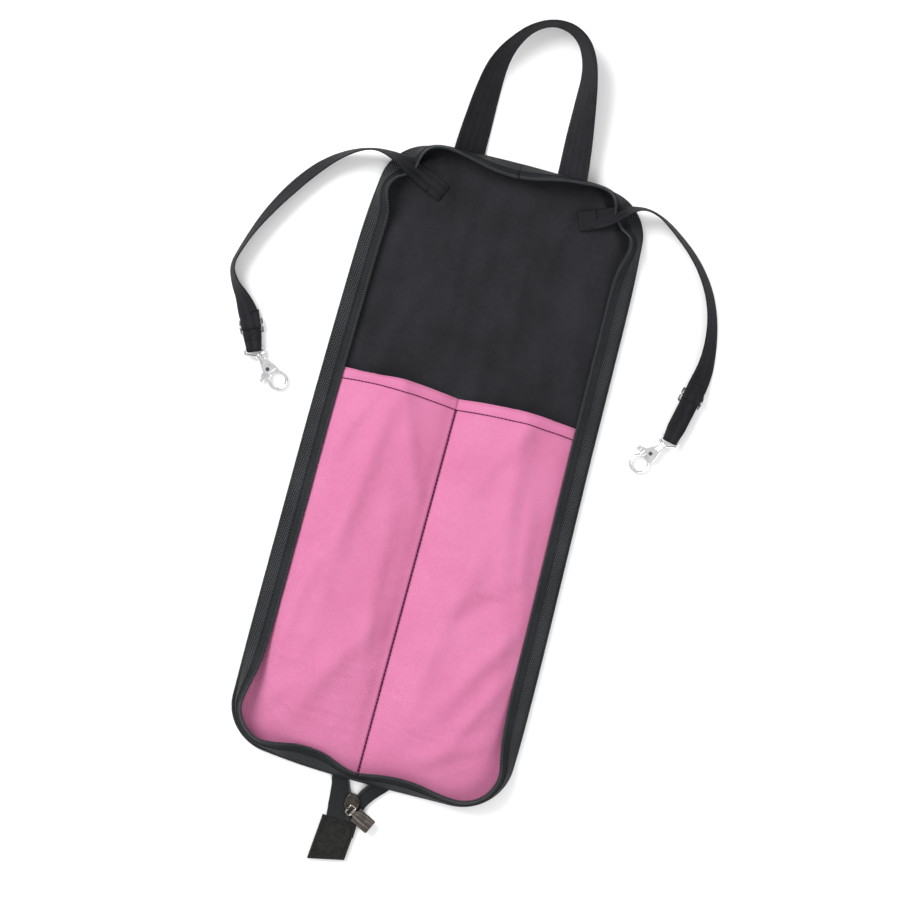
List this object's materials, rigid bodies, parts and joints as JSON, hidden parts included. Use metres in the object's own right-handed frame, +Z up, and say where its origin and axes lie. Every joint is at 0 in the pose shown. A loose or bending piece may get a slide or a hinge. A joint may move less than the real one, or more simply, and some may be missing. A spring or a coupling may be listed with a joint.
{
  "type": "drum stick bag",
  "caption": "Padded drum stick bag opened flat like a book, with two stick pockets, a zipper round its edge, a carry handle and two straps with swivel snap hooks.",
  "frame": {"origin": "under the middle of the spine, on the face that the open bag rests on", "axes": "+X to the right half, +Y to the carry handle, +Z up out of the lining and the pockets"},
  "size_m": [0.3739, 0.6629, 0.0219],
  "materials": {
    "outer_fabric": "matt black Oxford weave",
    "lining_fabric": "black woven lining",
    "pink_canvas": "pink twill",
    "foam": "closed foam, hidden inside",
    "webbing": "black polyester webbing",
    "zipper_fabric": "black zipper tape",
    "zipper_coil": "black nylon coil",
    "thread": "dark thread",
    "leather": "dark grained imitation leather",
    "chrome": "polished nickel plate",
    "gunmetal": "brushed dark nickel"
  },
  "bodies": {
    "left_half": {"edge_binding_left": "webbing", "foam_pad_left": "foam", "handle_left": "webbing", "hem_stitching_left": "thread", "lining_left": "lining_fabric", "outer_shell_left": "outer_fabric", "pocket_front_left": "pink_canvas", "pocket_hem_left": "pink_canvas", "strap_anchor_left": "webbing", "strap_keeper_left": "webbing", "strap_left": "webbing", "zipper_coil_left": "zipper_coil", "zipper_tape_left": "zipper_fabric"},
    "spine": {"edge_binding_spine": "webbing", "foam_pad_spine": "foam", "lining_spine": "lining_fabric", "outer_shell_spine": "outer_fabric", "zipper_top_end": "zipper_fabric", "zipper_tail_left": "zipper_fabric", "zipper_tail_right": "zipper_fabric", "zipper_tail_coil": "zipper_coil", "leather_tab": "leather", "tab_stitching": "thread", "pocket_centre_strip": "pink_canvas", "centre_stitching": "thread", "handle_apex": "webbing"},
    "right_half": {"edge_binding_right": "webbing", "foam_pad_right": "foam", "handle_right": "webbing", "hem_stitching_right": "thread", "lining_right": "lining_fabric", "outer_shell_right": "outer_fabric", "pocket_front_right": "pink_canvas", "pocket_hem_right": "pink_canvas", "strap_anchor_right": "webbing", "strap_keeper_right": "webbing", "strap_right": "webbing", "zipper_coil_right": "zipper_coil", "zipper_tape_right": "zipper_fabric"},
    "zipper_slider": {"slider_body": "gunmetal"},
    "pull_ring": {"pull_ring": "gunmetal"},
    "pull_tab": {"pull_tab": "gunmetal"},
    "tri_glide_left": {"tri_glide_left": "chrome"},
    "hook_base_left": {"hook_base_left": "chrome"},
    "hook_body_left": {"hook_body_left": "chrome", "hook_rivet_left": "chrome"},
    "hook_lever_left": {"hook_lever_left": "chrome"},
    "tri_glide_right": {"tri_glide_right": "chrome"},
    "hook_base_right": {"hook_base_right": "chrome"},
    "hook_body_right": {"hook_body_right": "chrome", "hook_rivet_right": "chrome"},
    "hook_lever_right": {"hook_lever_right": "chrome"}
  },
  "joints": [
    {"name": "left_fold", "type": "hinge", "parent": "left_half", "child": "spine", "pos_m": [-0.02, 0, 0.0042], "axis": [0, -1, 0], "range_deg": [0, 90]},
    {"name": "right_fold", "type": "hinge", "parent": "spine", "child": "right_half", "pos_m": [0.02, 0, 0.0042], "axis": [0, -1, 0], "range_deg": [0, 90]},
    {"name": "slider_travel", "type": "slide", "parent": "spine", "child": "zipper_slider", "axis": [0, 1, 0], "range_m": [0, 0.008]},
    {"name": "pull_ring_swing", "type": "hinge", "parent": "zipper_slider", "child": "pull_ring", "pos_m": [0, -0.265, 0.0072], "axis": [-0.4384, -0.8988, 0], "range_deg": [0, 110]},
    {"name": "pull_tab_swing", "type": "hinge", "parent": "pull_ring", "child": "pull_tab", "pos_m": [0.00413, -0.26702, 0.0072], "axis": [-0.4384, -0.8988, 0], "range_deg": [0, 80]},
    {"name": "tri_glide_left_slide", "type": "slide", "parent": "left_half", "child": "tri_glide_left", "axis": [0.3697, -0.9291, 0], "range_m": [0, 0.006]},
    {"name": "hook_left_tilt", "type": "hinge", "parent": "left_half", "child": "hook_base_left", "pos_m": [-0.16, 0.05213, 0.00475], "axis": [-0.9291, -0.3697, 0], "range_deg": [-45, 30]},
    {"name": "hook_left_swivel", "type": "hinge", "parent": "hook_base_left", "child": "hook_body_left", "pos_m": [-0.15324, 0.04685, 0.00417], "axis": [0.787, -0.6132, -0.0677], "continuous": true},
    {"name": "hook_left_gate", "type": "hinge", "parent": "hook_body_left", "child": "hook_lever_left", "pos_m": [-0.14598, 0.03993, 0.00345], "axis": [-0.029, 0.0729, -0.9969], "range_deg": [0, 20], "stiffness_Nm_per_rad": 0.02},
    {"name": "tri_glide_right_slide", "type": "slide", "parent": "right_half", "child": "tri_glide_right", "axis": [-0.2045, -0.9789, 0], "range_m": [0, 0.02]},
    {"name": "hook_right_tilt", "type": "hinge", "parent": "right_half", "child": "hook_base_right", "pos_m": [0.16278, 0.06824, 0.00475], "axis": [-0.9789, 0.2045, 0], "range_deg": [-45, 30]},
    {"name": "hook_right_swivel", "type": "hinge", "parent": "hook_base_right", "child": "hook_body_right", "pos_m": [0.15764, 0.06137, 0.00414], "axis": [-0.5985, -0.798, -0.0711], "continuous": true},
    {"name": "hook_right_gate", "type": "hinge", "parent": "hook_body_right", "child": "hook_lever_right", "pos_m": [0.15085, 0.05399, 0.00346], "axis": [0.016, 0.0768, -0.9969], "range_deg": [0, 20], "stiffness_Nm_per_rad": 0.02}
  ],
  "couplings": [
    {"joint": "right_fold", "follows": "left_fold", "ratio": 1}
  ]
}
